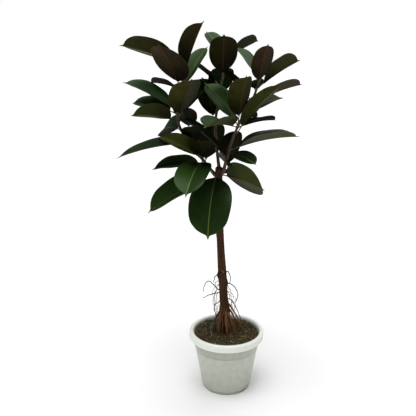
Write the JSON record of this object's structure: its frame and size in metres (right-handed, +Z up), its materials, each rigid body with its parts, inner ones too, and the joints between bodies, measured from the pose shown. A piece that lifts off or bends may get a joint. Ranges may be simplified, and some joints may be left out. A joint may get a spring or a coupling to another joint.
{
  "type": "potted rubber plant",
  "caption": "Rubber plant grown as a small tree: a bare trunk on prop roots forks into stems of large glossy dark leaves, in a round plastic pot of soil",
  "frame": {"origin": "on the floor, on the pot's axis, at the middle of its underside", "axes": "+Z up along the pot's axis; -Y is the side that faces the viewer; +X to the viewer's right"},
  "size_m": [0.7062, 0.4868, 1.4399],
  "materials": {
    "pot": "smooth moulded plastic, off-white with a hint of green, slightly satin and a little dusty",
    "soil": "damp dark potting soil with coarse bark, peat crumbs and grit",
    "bark": "rough red-brown bark with fine upright ridges and pale leaf scars",
    "root": "dry thin dark roots",
    "leaf": "glossy dark green upper face with a yellow-green midrib, olive to red-brown underside with a red midrib"
  },
  "bodies": {
    "root": {"aerial_root_1": "root", "aerial_root_2": "root", "aerial_root_3": "root", "aerial_root_4": "root", "aerial_root_5": "root", "aerial_root_6": "root", "aerial_root_7": "root", "leaf_left_01": "leaf", "leaf_left_02": "leaf", "leaf_left_03": "leaf", "leaf_left_04": "leaf", "leaf_left_05": "leaf", "leaf_left_06": "leaf", "leaf_left_07": "leaf", "leaf_left_08": "leaf", "leaf_left_09": "leaf", "leaf_left_10": "leaf", "leaf_left_11": "leaf", "leaf_left_12": "leaf", "leaf_left_13": "leaf", "leaf_left_14": "leaf", "leaf_left_15": "leaf", "leaf_left_16": "leaf", "leaf_left_17": "leaf", "leaf_left_18": "leaf", "leaf_middle_01": "leaf", "leaf_middle_02": "leaf", "leaf_middle_03": "leaf", "leaf_middle_04": "leaf", "leaf_middle_05": "leaf", "leaf_middle_06": "leaf", "leaf_middle_07": "leaf", "leaf_middle_08": "leaf", "leaf_middle_09": "leaf", "leaf_right_01": "leaf", "leaf_right_02": "leaf", "leaf_right_03": "leaf", "leaf_right_04": "leaf", "leaf_right_05": "leaf", "leaf_right_06": "leaf", "leaf_right_07": "leaf", "leaf_right_08": "leaf", "leaf_right_09": "leaf", "leaf_right_10": "leaf", "leaf_right_11": "leaf", "leaf_right_12": "leaf", "leaf_right_13": "leaf", "leaf_right_14": "leaf", "leaf_right_15": "leaf", "leaf_right_16": "leaf", "leaf_trunk_01": "leaf", "leaf_trunk_02": "leaf", "leaf_trunk_03": "leaf", "leaf_trunk_04": "leaf", "pot": "pot", "soil": "soil", "stem_left": "bark", "stem_middle": "bark", "stem_right": "bark", "trunk": "bark"}
  },
  "joints": []
}
